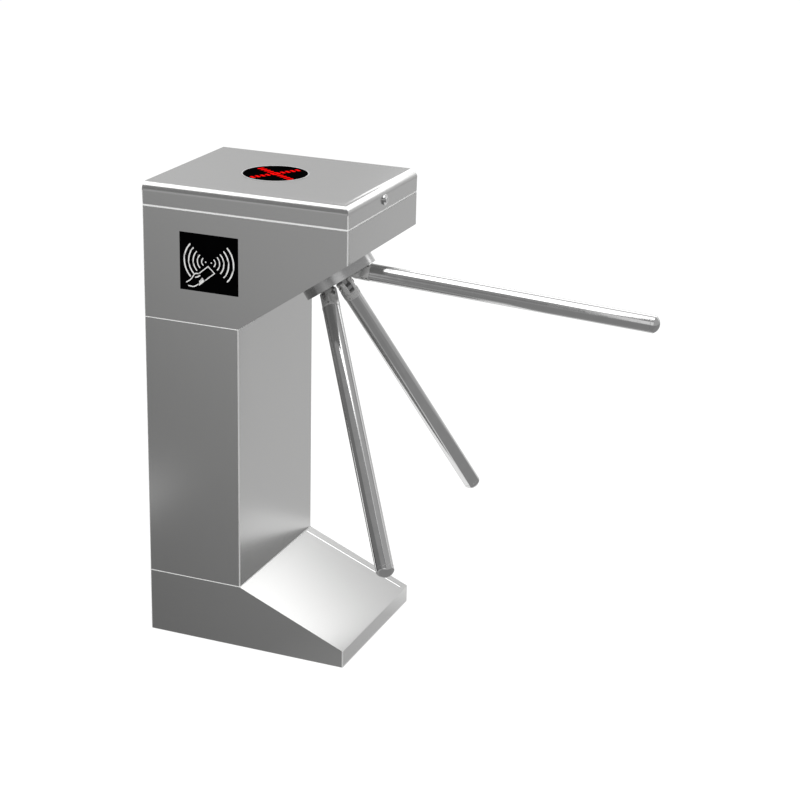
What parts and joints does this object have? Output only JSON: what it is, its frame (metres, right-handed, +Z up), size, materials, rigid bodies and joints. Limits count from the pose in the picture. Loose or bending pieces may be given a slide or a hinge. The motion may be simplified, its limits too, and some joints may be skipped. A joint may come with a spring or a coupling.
{
  "type": "tripod turnstile",
  "caption": "Tripod turnstile: floor-standing stainless cabinet with a turning hub of three arms under a slanted panel, card reader windows, a lamp cross and a hinged lid.",
  "frame": {"origin": "middle of the plinth's length and width, on the floor", "axes": "+Z up, +X from the column towards the passage and the arms, -Y the side of the near reader window"},
  "size_m": [1.0183, 0.7424, 0.9858],
  "materials": {
    "cabinet_steel": "satin, brushed",
    "polished_steel": "polished",
    "frame_steel": "satin",
    "machined_alloy": "satin",
    "gasket_rubber": "matt",
    "belt_rubber": "matt",
    "dark_panel": "gloss",
    "red_lamps": "lit",
    "board": "satin",
    "black_plastic": "matt",
    "copper_coil": "satin",
    "grey_plastic": "matt"
  },
  "bodies": {
    "cabinet": {"base_shell": "cabinet_steel", "floor_plate": "frame_steel", "column_shell": "cabinet_steel", "rear_access_panel": "cabinet_steel", "cabinet_fasteners": "polished_steel", "head_shell": "cabinet_steel", "seam_strips": "polished_steel", "lid_gasket": "gasket_rubber", "reader_window": "dark_panel", "far_reader_window": "dark_panel", "reader_boards": "board", "hub_flange": "machined_alloy", "front_plate": "frame_steel", "rear_plate": "frame_steel", "side_plates": "frame_steel", "bearing_housing": "machined_alloy", "bearing_outer_rings": "polished_steel", "bearing_balls": "polished_steel", "mechanism_screws": "polished_steel", "motor": "black_plastic", "drive_belt": "belt_rubber", "solenoids": "copper_coil", "pawl_pins": "polished_steel", "light_sensors": "black_plastic", "control_board": "board", "equipment_plate": "frame_steel", "power_supply": "machined_alloy", "terminal_rail": "grey_plastic", "wiring_loom": "black_plastic", "head_hinge_leaf": "cabinet_steel", "lock_keeper": "frame_steel"},
    "lid": {"lid_shell": "cabinet_steel", "indicator_rim": "polished_steel", "indicator_lens": "dark_panel", "indicator_lamps": "red_lamps", "lid_hinge_leaf": "cabinet_steel", "lock_body": "polished_steel"},
    "lock": {"lock_plug": "polished_steel", "lock_cam": "frame_steel"},
    "hub": {"hub_rotor": "machined_alloy", "main_shaft": "polished_steel", "bearing_inner_rings": "polished_steel", "locking_wheel": "frame_steel", "encoder_disc": "machined_alloy", "large_pulley": "machined_alloy", "hub_fasteners": "polished_steel", "arm_fork_1": "polished_steel", "arm_fork_2": "polished_steel", "arm_fork_3": "polished_steel", "arm_tube_1": "polished_steel", "arm_tube_2": "polished_steel", "arm_tube_3": "polished_steel", "arm_cap_1": "polished_steel", "arm_cap_2": "polished_steel", "arm_cap_3": "polished_steel"},
    "motor_pulley": {"motor_pulley": "machined_alloy"},
    "near_pawl": {"near_pawl": "frame_steel"},
    "far_pawl": {"far_pawl": "frame_steel"},
    "near_plunger": {"near_plunger": "polished_steel"},
    "far_plunger": {"far_plunger": "polished_steel"}
  },
  "joints": [
    {"name": "lid_hinge", "type": "hinge", "parent": "cabinet", "child": "lid", "pos_m": [-0.229, 0, 0.935], "axis": [0, -1, 0], "range_deg": [0, 80]},
    {"name": "lock_turn", "type": "hinge", "parent": "lid", "child": "lock", "pos_m": [0.225, 0.002, 0.95875], "axis": [1, 0, 0], "range_deg": [0, 90]},
    {"name": "hub_turn", "type": "hinge", "parent": "cabinet", "child": "hub", "pos_m": [0.09786, 0, 0.81212], "axis": [0.742, 0, -0.6704], "continuous": true},
    {"name": "motor_turn", "type": "hinge", "parent": "cabinet", "child": "motor_pulley", "pos_m": [0.04021, 0, 0.7483], "axis": [0.742, 0, -0.6704], "continuous": true},
    {"name": "near_pawl_swing", "type": "hinge", "parent": "cabinet", "child": "near_pawl", "pos_m": [0.06837, -0.048, 0.77947], "axis": [0.742, 0, -0.6704], "range_deg": [-10, 0], "stiffness_Nm_per_rad": 0.3, "springref_deg": 11.46},
    {"name": "far_pawl_swing", "type": "hinge", "parent": "cabinet", "child": "far_pawl", "pos_m": [0.06837, 0.048, 0.77947], "axis": [0.742, 0, -0.6704], "range_deg": [0, 10], "stiffness_Nm_per_rad": 0.3, "springref_deg": -11.46},
    {"name": "near_plunger_slide", "type": "slide", "parent": "cabinet", "child": "near_plunger", "axis": [0, 1, 0], "range_m": [0, 0.0075]},
    {"name": "far_plunger_slide", "type": "slide", "parent": "cabinet", "child": "far_plunger", "axis": [0, -1, 0], "range_m": [0, 0.0075]}
  ],
  "couplings": [
    {"joint": "motor_turn", "follows": "hub_turn", "ratio": 2.8571},
    {"joint": "near_plunger_slide", "follows": "near_pawl_swing", "m_per_rad": -0.042},
    {"joint": "far_plunger_slide", "follows": "far_pawl_swing", "m_per_rad": 0.042}
  ]
}
